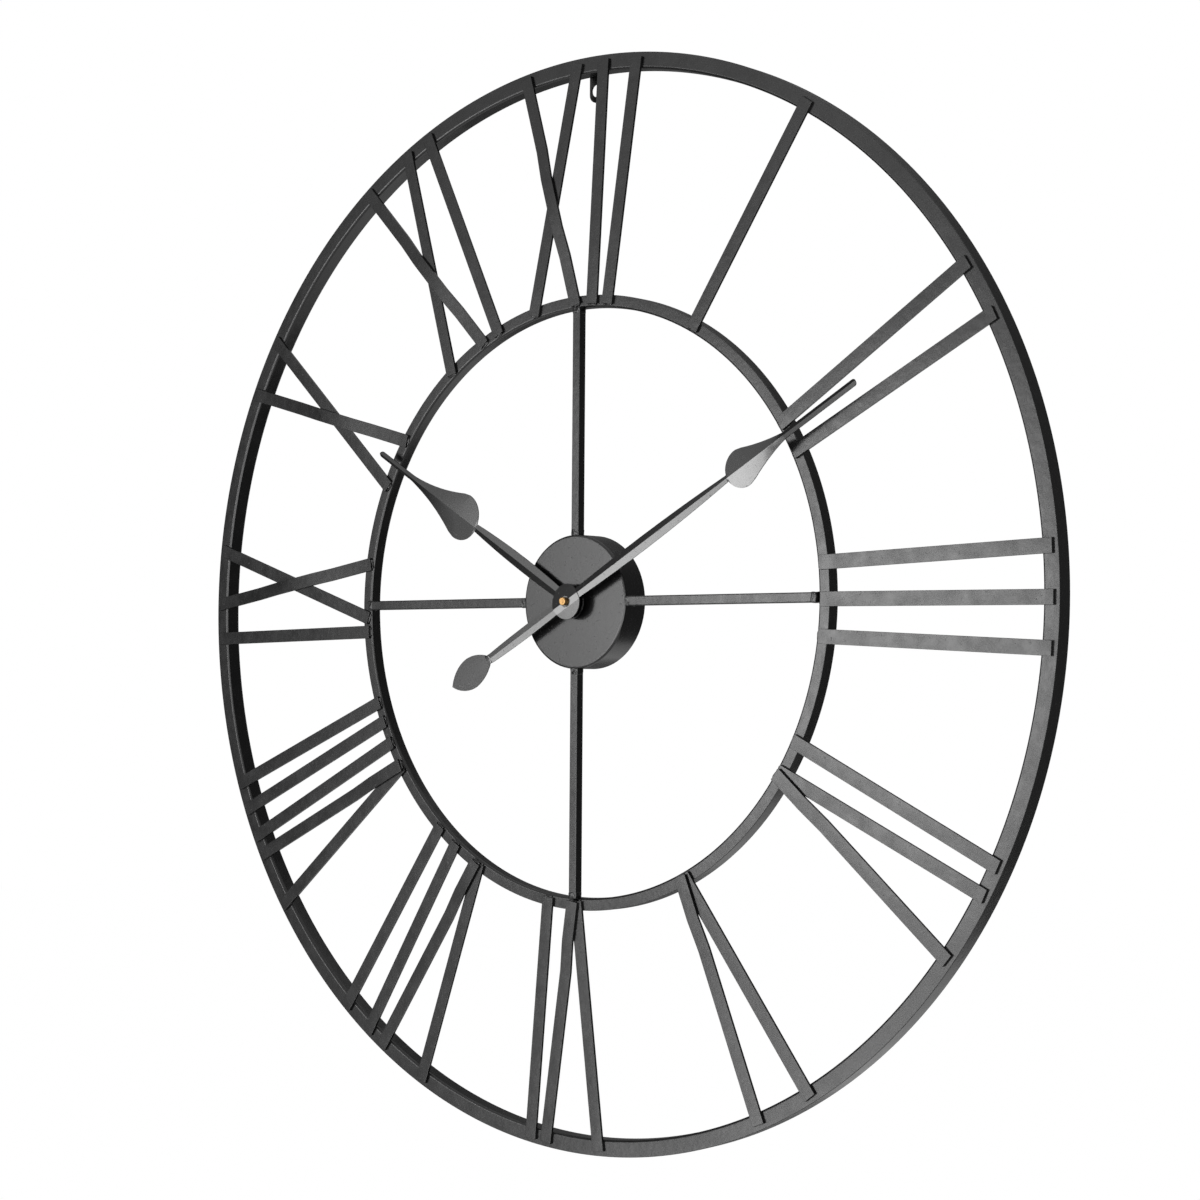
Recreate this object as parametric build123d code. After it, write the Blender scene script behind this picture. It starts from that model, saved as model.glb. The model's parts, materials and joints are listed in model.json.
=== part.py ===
from build123d import *
import os
from math import asin, cos, degrees, hypot, pi, radians, sin, sqrt

# Millimetres. Seen from the front, X points right and Z points up.
# The clock faces -Y with the wall behind it, and its hands turn about the Y axis.
# Y = 0 is the plane of both rings' front faces. Clock angles run clockwise from 12 o'clock.

# Rings, rolled from bar
outer_ring_radius = 400.0
outer_ring_width = 12.0
outer_ring_depth = 13.0
inner_ring_radius = 224.5
inner_ring_width = 9.0
inner_ring_depth = 10.0
ring_edge_radius = 1.8

# Numeral strips, flat bar laid across the front faces of the rings
strip_width = 10.0
strip_thickness = 2.0
strip_inner_lap = 6.5
strip_outer_margin = 3.5
bow_ramp = 22.0
bow_margin = 1.0

# The strokes of each numeral, from one o'clock to twelve: how a stroke lies, and where its inner and
# outer ends are, in degrees clockwise from the hour. An over stroke bows over the stroke after it where
# the two cross, and a lapped stroke lies on the stroke after it at its inner end.
numeral_strokes = [
    [("flat", -1.0, 1.2)],
    [("flat", -3.0, -2.85), ("flat", 3.0, 2.95)],
    [("flat", -6.2, -4.35), ("flat", 0.3, 0.35), ("flat", 6.9, 5.0)],
    [("flat", -3.6, -4.05), ("lapped", 3.3, 6.45), ("flat", 2.75, -0.95)],
    [("lapped", 2.8, 4.9), ("flat", 2.3, -2.2)],
    [("lapped", 0.1, 3.8), ("flat", -0.45, -3.55), ("flat", 6.8, 5.95)],
    [("lapped", -3.3, 0.05), ("flat", -4.0, -7.0), ("flat", 3.55, 2.7), ("flat", 9.0, 7.05)],
    [
        ("lapped", -4.65, -0.7),
        ("flat", -4.9, -7.55),
        ("flat", 0.7, 1.65),
        ("flat", 5.5, 5.2),
        ("flat", 9.65, 8.5),
    ],
    [("flat", -5.45, -3.65), ("over", 8.65, 0.45), ("flat", -2.6, 7.0)],
    [("over", 5.8, -3.55), ("flat", -4.75, 3.5)],
    [("over", 4.15, -4.25), ("flat", -6.25, 3.1), ("flat", 8.45, 6.6)],
    [("over", -0.85, -7.8), ("flat", -11.75, -0.4), ("flat", 3.3, 3.25), ("flat", 7.15, 7.8)],
]
hour_step = 360.0 / len(numeral_strokes)

# Hub cup, pressed from sheet, and the spokes welded between it and the inner ring
cup_radius = 49.0
cup_sheet = 1.2
cup_front = -4.0
cup_rim = 18.0
cup_edge_radius = 1.8
spoke_width = 7.0
spoke_depth = 7.0
spoke_edge_radius = 0.8
spoke_count = 4
weld_gap = 0.05

# Hanger tab, welded to the back of the outer ring a little to the right of 12 o'clock
tab_width = 12.6
tab_thickness = 1.5
tab_side_step = 3.1
tab_hole_radius = 4.6
tab_hole_drop = 9.9
tab_end_drop = 2.6
tab_top_margin = 2.0

# Threaded bush and what clamps the movement to the cup
bush_radius = 4.0
bush_clearance = 0.2
bush_stand_out = 0.8
bush_flange_radius = 5.6
bush_flange_thickness = 0.5
gasket_radius = 14.0
gasket_thickness = 0.8
washer_radius = 7.5
washer_thickness = 0.6
nut_across_flats = 12.0
nut_thickness = 2.0

# Movement case
case_side = 56.0
case_wall = 1.2
case_front_wall = 1.0
case_corner_radius = 4.0
case_chamber_depth = 13.8
cover_thickness = 1.2
cover_fit = 0.25
cover_lip_depth = 1.6
cover_lip_width = 1.0
bay_divider = 1.0
plate_thickness = 1.0
plate_fit = 0.5
plate_front = 2.5
post_radius = 2.0
post_inset = 3.8
thin_post_radius = 1.2
board_post_inset = 2.4

# Battery, an ordinary AA cell
battery_radius = 7.25
battery_length = 49.2
battery_nub_radius = 2.7
battery_nub_length = 1.2
battery_edge_radius = 0.8
battery_fit = 0.3
contact_sheet = 0.4
contact_width = 8.0
contact_length = 9.0

# Wheel train. A wheel and the pinion in mesh with it share one module.
wheel_thickness = 0.8
pinion_extra = 0.2
layer_gap = 0.6
arbor_radius = 0.5
pivot_radius = 0.35
pivot_clearance = 0.05
pivot_length = 0.8
motion_pivot_length = 0.5
motion_pivot_hole = 0.7
shoulder_play = 0.1
wheel_addendum = 0.9
pinion_addendum = 0.8
dedendum = 1.2
wheel_tip_width = 0.55
wheel_root_width = 1.9
pinion_tip_width = 0.45
pinion_root_width = 1.45

minute_pinion_teeth = 12
motion_wheel_teeth = 36
motion_pinion_teeth = 10
hour_wheel_teeth = 40
centre_wheel_teeth = 64
third_pinion_teeth = 8
third_wheel_teeth = 60
seconds_pinion_teeth = 8
seconds_wheel_teeth = 60
intermediate_pinion_teeth = 10
intermediate_wheel_teeth = 40
rotor_pinion_teeth = 8

motion_module = 0.5
third_module = 0.3
seconds_module = 0.3
rotor_module = 0.25
motion_direction = 70.0
third_direction = 300.0
intermediate_direction = 15.0
rotor_direction = 340.0

motion_arbor_radius = 0.8
minute_arbor_radius = 1.65
minute_arbor_rear_radius = 1.5
minute_thread_radius = 1.4
hour_pipe_radius = 2.6
hour_pipe_margin = 0.2
running_clearance = 0.05
clutch_clearance = 0.03
arbor_end_margin = 0.2
arbor_end_bore = 1.6

# Step motor
magnet_radius = 2.4
magnet_length = 2.0
stator_air_gap = 0.4
stator_thickness = 1.0
stator_length = 27.0
stator_height = 8.6
core_width = 2.4
core_thickness = 0.8
coil_radius = 2.4
coil_length = 18.0
coil_flange = 1.0
coil_height = 22.9
board_width = 11.0
board_height = 15.0
board_thickness = 0.8
board_corner = (-24.6, 9.6)
chip_side = 4.0
chip_thickness = 0.9
crystal_radius = 1.0
crystal_length = 6.0

# Set knob
knob_radius = 5.0
knob_thickness = 2.6
knob_gap = 0.4
knob_grooves = 18
knob_groove_radius = 0.45

# Hands, pressed from sheet with a folded ridge
hand_sheet = 0.8
hand_ridge = 1.2
hand_boss_radius = 13.0
hand_bush_radius = 4.0
hand_bush_flange = 0.4
hand_bush_head = 0.2
hand_width_margin = 0.3
flat_leaf_spread = 80.0
fold_change = 2.0
hour_hand_back = -8.0
minute_hand_back = -12.0
hour_hand_angle = 301.0
minute_hand_angle = 60.75
hand_nut_radius = 3.0
hand_nut_chamfer = 0.7
arbor_tip = -18.0
hand_nut_end_gap = 0.4

# Outline of each hand, as distances along it from the axis and half widths across it
hour_outline = {
    "root_half_width": 3.6,
    "shaft_middle": 58.0,
    "shaft_half_width": 5.2,
    "neck_half_width": 3.0,
    "spade_middle": 128.0,
    "spade_radius": 17.8,
    "taper_angle": 24.2,
    "taper_end": 190.0,
    "tip_half_width": 2.3,
    "reach": 231.0,
    "tail_reach": 0.0,
}
minute_outline = {
    "root_half_width": 3.4,
    "shaft_middle": 88.0,
    "shaft_half_width": 4.9,
    "neck_half_width": 2.4,
    "spade_middle": 183.0,
    "spade_radius": 13.9,
    "taper_angle": 23.0,
    "taper_end": 224.0,
    "tip_half_width": 2.5,
    "reach": 291.3,
    "tail_reach": 129.5,
}
tail_middle = 48.0
tail_half_width = 4.4
tail_neck = 87.0
tail_neck_half_width = 3.4
leaf_middle = 107.0
leaf_half_width = 11.8
leaf_shoulder = 96.0
leaf_shoulder_half_width = 9.2
leaf_point = 119.0
leaf_point_half_width = 9.0

# Places worked out from the sizes above
strip_inner_end = inner_ring_radius - strip_inner_lap
strip_outer_end = outer_ring_radius - strip_outer_margin
inner_ring_bore = inner_ring_radius - inner_ring_width
outer_ring_bore = outer_ring_radius - outer_ring_width
cup_floor = cup_front + cup_sheet
case_front = cup_floor + gasket_thickness
chamber_front = case_front + case_front_wall
case_back = chamber_front + case_chamber_depth
cover_back = case_back + cover_thickness
washer_front = cup_front - washer_thickness
nut_front = washer_front - nut_thickness
bush_front = nut_front - bush_stand_out
chamber_side = case_side / 2 - case_wall
bay_bottom = -chamber_side
battery_z = bay_bottom + battery_fit + battery_radius
battery_y = chamber_front + battery_fit + battery_radius
bay_top = battery_z + battery_radius + battery_fit
chamber_bottom = bay_top + bay_divider
plate_back = plate_front + plate_thickness

motion_distance = motion_module * (minute_pinion_teeth + motion_wheel_teeth) / 2
hour_module = 2 * motion_distance / (motion_pinion_teeth + hour_wheel_teeth)
third_distance = third_module * (seconds_pinion_teeth + third_wheel_teeth) / 2
centre_module = 2 * third_distance / (third_pinion_teeth + centre_wheel_teeth)
intermediate_distance = seconds_module * (intermediate_pinion_teeth + seconds_wheel_teeth) / 2
rotor_distance = rotor_module * (rotor_pinion_teeth + intermediate_wheel_teeth) / 2

hour_wheel_front = chamber_front + bush_flange_thickness + layer_gap / 2
motion_wheel_front = hour_wheel_front + wheel_thickness + layer_gap
centre_wheel_front = plate_back + layer_gap
third_wheel_front = centre_wheel_front + wheel_thickness + layer_gap
seconds_wheel_front = third_wheel_front + wheel_thickness + layer_gap
intermediate_wheel_front = seconds_wheel_front + wheel_thickness + layer_gap
magnet_front = intermediate_wheel_front + wheel_thickness + layer_gap
stator_front = magnet_front + (magnet_length - stator_thickness) / 2
core_front = stator_front - core_thickness
minute_arbor_rear = centre_wheel_front + wheel_thickness + arbor_end_margin


def around(radius, angle, centre=(0.0, 0.0)):
    """X and Z of the point at a clock angle on a circle about a centre."""
    turn = radians(angle)
    return centre[0] + radius * sin(turn), centre[1] + radius * cos(turn)


centre_axis = (0.0, 0.0)
motion_axis = around(motion_distance, motion_direction)
third_axis = around(third_distance, third_direction)
intermediate_axis = around(intermediate_distance, intermediate_direction)
rotor_axis = around(rotor_distance, rotor_direction, intermediate_axis)


def rod(radius, front, back, axis=centre_axis):
    """A round bar along Y."""
    middle = Pos(axis[0], (front + back) / 2, axis[1])
    return middle * Rot(90, 0, 0) * Cylinder(radius, back - front)


def block(x_range, y_range, z_range):
    """A box between two limits on each axis."""
    size = [high - low for low, high in (x_range, y_range, z_range)]
    middle = [(high + low) / 2 for low, high in (x_range, y_range, z_range)]
    return Pos(*middle) * Box(*size)


def rounded_block(x_range, y_range, z_range, radius):
    """A box whose edges along Y are rounded."""
    return fillet(block(x_range, y_range, z_range).edges().filter_by(Axis.Y), radius)


def ring(radius, width, depth):
    section = Pos(radius - width / 2, depth / 2) * RectangleRounded(width, depth, ring_edge_radius)
    return revolve(section, Axis.Y)


def movement_cup():
    bore = bush_radius + bush_clearance
    profile = Polyline(
        (bore, cup_front),
        (cup_radius, cup_front),
        (cup_radius, cup_rim),
        (cup_radius - cup_sheet, cup_rim),
        (cup_radius - cup_sheet, cup_floor),
        (bore, cup_floor),
        close=True,
    )
    section = make_face(profile)
    for corner, radius in (
        ((cup_radius, cup_front), cup_edge_radius),
        ((cup_radius - cup_sheet, cup_floor), cup_edge_radius - cup_sheet),
    ):
        section = fillet(section.vertices().sort_by_distance(corner)[0], radius)
    return revolve(section, Axis.Y)


def spoke(hour):
    """A square bar, its ends cut to the curve of the cup and of the inner ring."""
    half = spoke_width / 2
    bar = block((-half, half), (cup_front, cup_front + spoke_depth), (0, inner_ring_radius))
    bar = fillet(bar.edges().filter_by(Axis.Z), spoke_edge_radius)
    bar = bar - rod(cup_radius + weld_gap, cup_front, cup_rim)
    bar = bar & rod(inner_ring_bore - weld_gap, cup_front, cup_rim)
    return Rot(0, hour * hour_step, 0) * bar


def hanger_tab():
    """A plate with a rounded lower end, lapped on the ring's back face."""
    hole_height = outer_ring_bore - tab_hole_drop
    end_height = hole_height - tab_end_drop
    top = outer_ring_radius - tab_top_margin
    half = tab_width / 2
    depth = (outer_ring_depth, outer_ring_depth + tab_thickness)
    plate = block((tab_side_step - half, tab_side_step + half), depth, (end_height, top))
    plate = plate + rod(half, *depth, (tab_side_step, end_height))
    return plate - rod(tab_hole_radius, *depth, (tab_side_step, hole_height))


def stroke_line(hour, inner_angle, outer_angle):
    """Both ends of a stroke's centre line, as X and Z."""
    inner = around(strip_inner_end, hour * hour_step + inner_angle)
    outer = around(strip_outer_end, hour * hour_step + outer_angle)
    return inner, outer


def stroke_place(line):
    """A plane at a stroke's inner end, X along the stroke and Z to the front."""
    inner, outer = line
    along = (outer[0] - inner[0], 0, outer[1] - inner[1])
    return Plane(origin=(inner[0], 0, inner[1]), x_dir=along, z_dir=(0, -1, 0))


def stroke_length(line):
    inner, outer = line
    return hypot(outer[0] - inner[0], outer[1] - inner[1])


def flat_strip(line):
    length = stroke_length(line)
    bar = Pos(length / 2, 0, strip_thickness / 2) * Box(length, strip_width, strip_thickness)
    return stroke_place(line) * bar


def crossing(over, under):
    """How far along the first stroke the second crosses it, and at what angle."""
    (ax, az), (bx, bz) = over
    (cx, cz), (dx, dz) = under
    over_run = (bx - ax, bz - az)
    under_run = (dx - cx, dz - cz)
    area = over_run[0] * under_run[1] - over_run[1] * under_run[0]
    share = ((cx - ax) * under_run[1] - (cz - az) * under_run[0]) / area
    angle = asin(abs(area) / (stroke_length(over) * stroke_length(under)))
    return share * stroke_length(over), angle


def lift_span(over, under):
    """Where along the first stroke the second lies under it, with room to spare at both ends."""
    middle, angle = crossing(over, under)
    clear = strip_width * (1 + cos(angle)) / (2 * sin(angle)) + bow_margin
    return middle - clear, middle + clear


def bent_strip(line, run):
    """A strip bent along its length: distances along the stroke and heights of its back there."""
    back = [(x, 0, z) for x, z in run]
    front = [(x, 0, z + strip_thickness) for x, z in reversed(run)]
    side = make_face(Polyline(*back, *front, close=True))
    return stroke_place(line) * extrude(side, strip_width / 2, both=True)


def bowed_strip(over, under):
    """A strip that lies on both rings and bows over the strip it crosses."""
    start, end = lift_span(over, under)
    run = [
        (0, 0),
        (start - bow_ramp, 0),
        (start, strip_thickness),
        (end, strip_thickness),
        (end + bow_ramp, 0),
        (stroke_length(over), 0),
    ]
    return bent_strip(over, run)


def lapped_strip(over, under):
    """A strip whose inner end lies on another strip, and whose outer end lies on the ring."""
    _, end = lift_span(over, under)
    run = [
        (0, strip_thickness),
        (end, strip_thickness),
        (end + bow_ramp, 0),
        (stroke_length(over), 0),
    ]
    return bent_strip(over, run)


def numeral(hour, strokes):
    """The separate strips of one numeral."""
    lines = [stroke_line(hour, inner, outer) for _, inner, outer in strokes]
    strips = []
    for index, (lie, _, _) in enumerate(strokes):
        if lie == "over":
            strip = bowed_strip(lines[index], lines[index + 1])
        elif lie == "lapped":
            strip = lapped_strip(lines[index], lines[index + 1])
        else:
            strip = flat_strip(lines[index])
        strips.append(strip.solids()[0])
    return Compound(strips)


def toothed(teeth, module, front, back, axis, tooth_angle, pinion=False):
    """A toothed disc with one tooth centred on the given clock angle."""
    addendum = pinion_addendum if pinion else wheel_addendum
    tip_width = pinion_tip_width if pinion else wheel_tip_width
    root_width = pinion_root_width if pinion else wheel_root_width
    tip = module * (teeth / 2 + addendum)
    root = module * (teeth / 2 - dedendum)
    tip_half = degrees(module * tip_width / 2 / tip)
    root_half = degrees(module * root_width / 2 / root)
    corners = []
    for tooth in range(teeth):
        middle = tooth_angle + 360.0 * tooth / teeth
        corners.append(around(root, middle - root_half, axis))
        corners.append(around(tip, middle - tip_half, axis))
        corners.append(around(tip, middle + tip_half, axis))
        corners.append(around(root, middle + root_half, axis))
    outline = Polyline(*[(x, front, z) for x, z in corners], close=True)
    return extrude(make_face(outline), back - front, dir=(0, 1, 0))


def gap_facing(direction, teeth):
    """The angle of a tooth on a wheel whose gap faces back along a direction."""
    return direction + 180.0 + 180.0 / teeth


def wheel(teeth, module, front, axis, tooth_angle):
    return toothed(teeth, module, front, front + wheel_thickness, axis, tooth_angle)


def pinion(teeth, module, front, axis, tooth_angle):
    """A pinion a little longer than the wheel in mesh with it, whose front face is given."""
    back = front + wheel_thickness + pinion_extra
    return toothed(teeth, module, front - pinion_extra, back, axis, tooth_angle, pinion=True)


def train_arbor(axis):
    """An arbor between the train plate and the cover, with a pivot at each end."""
    front = plate_back + shoulder_play
    back = case_back - shoulder_play
    arbor = rod(arbor_radius, front, back, axis)
    return arbor + rod(pivot_radius, front - pivot_length, back + pivot_length, axis)


def pivot_hole(axis, front, back):
    return rod(pivot_radius + pivot_clearance, front, back, axis)


def hour_wheel():
    """The hour wheel and its pipe, which carries the hour hand."""
    pipe_front = hour_hand_back - hand_ridge - hand_sheet - hand_bush_head - hour_pipe_margin
    body = wheel(hour_wheel_teeth, hour_module, hour_wheel_front, centre_axis, motion_direction)
    body = body + rod(hour_pipe_radius, pipe_front, hour_wheel_front + wheel_thickness)
    bore = minute_arbor_radius + running_clearance
    return body - rod(bore, pipe_front, hour_wheel_front + wheel_thickness)


def motion_wheel():
    """The motion wheel and its pinion on the long arbor that ends in the set knob."""
    front = chamber_front + shoulder_play
    pinion_angle = gap_facing(motion_direction, motion_pinion_teeth)
    wheel_angle = gap_facing(motion_direction, motion_wheel_teeth)
    body = wheel(motion_wheel_teeth, motion_module, motion_wheel_front, motion_axis, wheel_angle)
    body = body + pinion(motion_pinion_teeth, hour_module, hour_wheel_front, motion_axis, pinion_angle)
    body = body + rod(motion_arbor_radius, front, cover_back + knob_gap + knob_thickness, motion_axis)
    return body + rod(pivot_radius, front - motion_pivot_length, front, motion_axis)


def minute_arbor():
    """The minute arbor with its pinion, a shoulder for the hand and a thread for the nut."""
    shoulder = minute_hand_back + hand_bush_flange
    body = rod(minute_arbor_radius, shoulder, plate_front - shoulder_play)
    body = body + rod(minute_arbor_rear_radius, plate_front - shoulder_play, minute_arbor_rear)
    body = body + rod(minute_thread_radius, arbor_tip, shoulder)
    leaf_angle = motion_direction
    body = body + pinion(minute_pinion_teeth, motion_module, motion_wheel_front, centre_axis, leaf_angle)
    return body - pivot_hole(centre_axis, minute_arbor_rear - arbor_end_bore, minute_arbor_rear)


def centre_wheel():
    """The wheel that drives the minute arbor through a slipping fit."""
    body = wheel(centre_wheel_teeth, centre_module, centre_wheel_front, centre_axis, third_direction)
    bore = minute_arbor_rear_radius + clutch_clearance
    return body - rod(bore, centre_wheel_front, centre_wheel_front + wheel_thickness)


def third_wheel():
    leaf_angle = gap_facing(third_direction, third_pinion_teeth)
    tooth_angle = gap_facing(third_direction, third_wheel_teeth)
    body = train_arbor(third_axis)
    body = body + pinion(third_pinion_teeth, centre_module, centre_wheel_front, third_axis, leaf_angle)
    return body + wheel(third_wheel_teeth, third_module, third_wheel_front, third_axis, tooth_angle)


def seconds_wheel():
    """The seconds wheel turns behind the minute arbor, with its front pivot in the arbor's end."""
    front = minute_arbor_rear + shoulder_play
    back = case_back - shoulder_play
    body = rod(arbor_radius, front, back)
    body = body + rod(pivot_radius, front - pivot_length, back + pivot_length)
    leaf_angle = third_direction
    body = body + pinion(seconds_pinion_teeth, third_module, third_wheel_front, centre_axis, leaf_angle)
    tooth_angle = intermediate_direction
    return body + wheel(seconds_wheel_teeth, seconds_module, seconds_wheel_front, centre_axis, tooth_angle)


def intermediate_wheel():
    leaf_angle = gap_facing(intermediate_direction, intermediate_pinion_teeth)
    body = train_arbor(intermediate_axis)
    leaves = pinion(
        intermediate_pinion_teeth, seconds_module, seconds_wheel_front, intermediate_axis, leaf_angle
    )
    teeth = wheel(
        intermediate_wheel_teeth,
        rotor_module,
        intermediate_wheel_front,
        intermediate_axis,
        rotor_direction,
    )
    return body + leaves + teeth


def motor_rotor():
    leaf_angle = gap_facing(rotor_direction, rotor_pinion_teeth)
    body = train_arbor(rotor_axis)
    body = body + pinion(rotor_pinion_teeth, rotor_module, intermediate_wheel_front, rotor_axis, leaf_angle)
    return body + rod(magnet_radius, magnet_front, magnet_front + magnet_length, rotor_axis)


def stator_span():
    """X limits of the stator, centred on the rotor."""
    return rotor_axis[0] - stator_length / 2, rotor_axis[0] + stator_length / 2


def core_posts():
    """Where the coil core's two ends are carried."""
    low, high = stator_span()
    return (low + core_width / 2, coil_height), (high - core_width / 2, coil_height)


def motor_stator():
    """A flat plate round the rotor, with a leg at each end up to the coil core."""
    low, high = stator_span()
    back = stator_front + stator_thickness
    bottom = rotor_axis[1] - stator_height / 2
    top = rotor_axis[1] + stator_height / 2
    leg_top = coil_height + core_width / 2
    body = block((low, high), (stator_front, back), (bottom, top))
    for left, right in ((low, low + core_width), (high - core_width, high)):
        body = body + block((left, right), (stator_front, back), (bottom, leg_top))
    return body - rod(magnet_radius + stator_air_gap, stator_front, back, rotor_axis)


def coil_core():
    half = core_width / 2
    return block(stator_span(), (core_front, stator_front), (coil_height - half, coil_height + half))


def motor_coil():
    """The winding on its bobbin, round the middle of the core."""
    middle = Pos(rotor_axis[0], core_front + core_thickness / 2, coil_height) * Rot(0, 90, 0)
    winding = middle * Cylinder(coil_radius - coil_flange / 2, coil_length)
    for side in (-1, 1):
        end = Pos(0, 0, side * (coil_length - coil_flange) / 2) * Cylinder(coil_radius, coil_flange)
        winding = winding + middle * end
    half = core_width / 2 + running_clearance
    slot_depth = core_thickness / 2 + running_clearance
    slot_middle = core_front + core_thickness / 2
    slot = block(
        stator_span(),
        (slot_middle - slot_depth, slot_middle + slot_depth),
        (coil_height - half, coil_height + half),
    )
    return winding - slot


def board_limits():
    left, bottom = board_corner
    return (left, left + board_width), (bottom, bottom + board_height)


def board_posts():
    """The two posts that carry the circuit board."""
    (left, _), (bottom, top) = board_limits()
    x = left + board_post_inset
    return (x, bottom + board_post_inset), (x, top - board_post_inset)


def circuit_board():
    x_range, z_range = board_limits()
    back = core_front + board_thickness
    board = block(x_range, (core_front, back), z_range)
    chip_x = (x_range[0] + x_range[1]) / 2
    chip_z = z_range[0] + chip_side
    chip = Pos(chip_x, back + chip_thickness / 2, chip_z) * Box(chip_side, chip_thickness, chip_side)
    return board + chip


def quartz_crystal():
    """A small can that lies on the board."""
    x_range, z_range = board_limits()
    x = (x_range[0] + x_range[1]) / 2
    z = z_range[1] - crystal_length / 2 - crystal_radius
    return Pos(x, core_front + board_thickness + crystal_radius, z) * Cylinder(crystal_radius, crystal_length)


def corner_posts():
    side = chamber_side - post_inset
    return [(x, z) for x in (-side, side) for z in (chamber_bottom + post_inset, side)]


def movement_case():
    """A tray with the wheel chamber above and the battery bay below, both open to the back."""
    half = case_side / 2
    pocket_radius = case_corner_radius - case_wall
    inside = (-chamber_side, chamber_side)
    depth = (chamber_front, case_back)
    body = rounded_block((-half, half), (case_front, case_back), (-half, half), case_corner_radius)
    body = body - rounded_block(inside, depth, (chamber_bottom, chamber_side), pocket_radius)
    body = body - rounded_block(inside, depth, (bay_bottom, bay_top), pocket_radius)
    for post in corner_posts():
        body = body + rod(post_radius, chamber_front, plate_front, post)
    body = body - rod(bush_radius + running_clearance, case_front, chamber_front)
    return body - pivot_hole(motion_axis, chamber_front - motion_pivot_hole, chamber_front)


def train_plate():
    """The plate that carries the front pivots, with posts for the motor and the board."""
    side = chamber_side - plate_fit
    limits = (chamber_bottom + plate_fit, side)
    depth = (plate_front, plate_back)
    body = rounded_block((-side, side), depth, limits, case_corner_radius - case_wall)
    for post in core_posts() + board_posts():
        body = body + rod(thin_post_radius, plate_front, core_front, post)
    for axis in (third_axis, intermediate_axis, rotor_axis):
        body = body - pivot_hole(axis, plate_front, plate_back)
    body = body - rod(minute_arbor_rear_radius + running_clearance, plate_front, plate_back)
    return body - rod(motion_arbor_radius + running_clearance, plate_front, plate_back, motion_axis)


def movement_cover():
    """The cover over the wheel chamber, with a lip inside the chamber's walls."""
    half = case_side / 2
    side = chamber_side - cover_fit
    inner_side = side - cover_lip_width
    bottom = chamber_bottom + cover_fit
    body = rounded_block(
        (-half, half), (case_back, cover_back), (bay_top, half), case_corner_radius - case_wall
    )
    lip_depth = (case_back - cover_lip_depth, case_back)
    lip = rounded_block((-side, side), lip_depth, (bottom, side), case_corner_radius - case_wall)
    hollow = block(
        (-inner_side, inner_side), lip_depth, (bottom + cover_lip_width, side - cover_lip_width)
    )
    body = body + (lip - hollow)
    for axis in (centre_axis, third_axis, intermediate_axis, rotor_axis):
        body = body - pivot_hole(axis, case_back, case_back + pivot_length)
    return body - rod(motion_arbor_radius + running_clearance, case_back, cover_back, motion_axis)


def threaded_bush():
    """The stud of the movement, which goes through the cup."""
    bore = hour_pipe_radius + running_clearance
    flange_back = chamber_front + bush_flange_thickness
    body = rod(bush_radius, bush_front, chamber_front)
    body = body + rod(bush_flange_radius, chamber_front, flange_back)
    return body - rod(bore, bush_front, flange_back)


def collar(radius, bore, front, back):
    return rod(radius, front, back) - rod(bore, front, back)


def fixing_nut():
    flats = Plane.XZ * RegularPolygon(nut_across_flats / 2, 6, major_radius=False)
    nut = Pos(0, nut_front, 0) * extrude(flats, nut_thickness, dir=(0, 1, 0))
    return nut - rod(bush_radius + running_clearance, nut_front, washer_front)


def battery():
    left = -battery_length / 2 - battery_nub_length / 2
    can = Pos(left + battery_length / 2, battery_y, battery_z) * Rot(0, 90, 0)
    body = can * Cylinder(battery_radius, battery_length)
    body = fillet(body.edges(), battery_edge_radius)
    nub = Cylinder(battery_nub_radius, battery_nub_length)
    return body + can * Pos(0, 0, (battery_length + battery_nub_length) / 2) * nub


def battery_end():
    return (battery_length + battery_nub_length) / 2


def positive_contact():
    """A plate on the bay's end wall with a button for the battery's nub."""
    half = contact_width / 2
    long_half = contact_length / 2
    plate = block(
        (chamber_side - contact_sheet, chamber_side),
        (battery_y - long_half, battery_y + long_half),
        (battery_z - half, battery_z + half),
    )
    reach = chamber_side - battery_end() - battery_fit
    button = Pos(chamber_side - reach / 2, battery_y, battery_z) * Rot(0, 90, 0)
    return plate + button * Cylinder(battery_nub_radius, reach)


def negative_contact():
    """A leaf spring folded out from the bay's other end wall."""
    wall = -chamber_side
    half = contact_width / 2
    long_half = contact_length / 2
    reach = -battery_end() - battery_fit
    profile = [
        (wall, battery_y - long_half),
        (wall + contact_sheet, battery_y - long_half),
        (reach, battery_y),
        (wall + contact_sheet, battery_y + long_half),
        (wall, battery_y + long_half),
        (reach - contact_sheet, battery_y),
    ]
    leaf = make_face(Polyline(*[(x, y, battery_z - half) for x, y in profile], close=True))
    return extrude(leaf, contact_width, dir=(0, 0, 1))


def set_knob():
    """A round knob with grooves for the fingertips."""
    front = cover_back + knob_gap
    back = front + knob_thickness
    body = rod(knob_radius, front, back, motion_axis)
    for groove in range(knob_grooves):
        place = around(knob_radius, 360.0 * groove / knob_grooves, motion_axis)
        body = body - rod(knob_groove_radius, front, back, place)
    return body - rod(motion_arbor_radius, front, back, motion_axis)


def hand_place(angle, back):
    """A plane with X along the hand, Z to the front and its origin on the axis."""
    turn = radians(angle)
    return Plane(origin=(0, back, 0), x_dir=(sin(turn), 0, cos(turn)), z_dir=(0, -1, 0))


def shoulder_start(outline):
    """Where the shaft meets the round shoulder of the spade."""
    return outline["spade_middle"] - sqrt(outline["spade_radius"] ** 2 - outline["neck_half_width"] ** 2)


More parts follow.
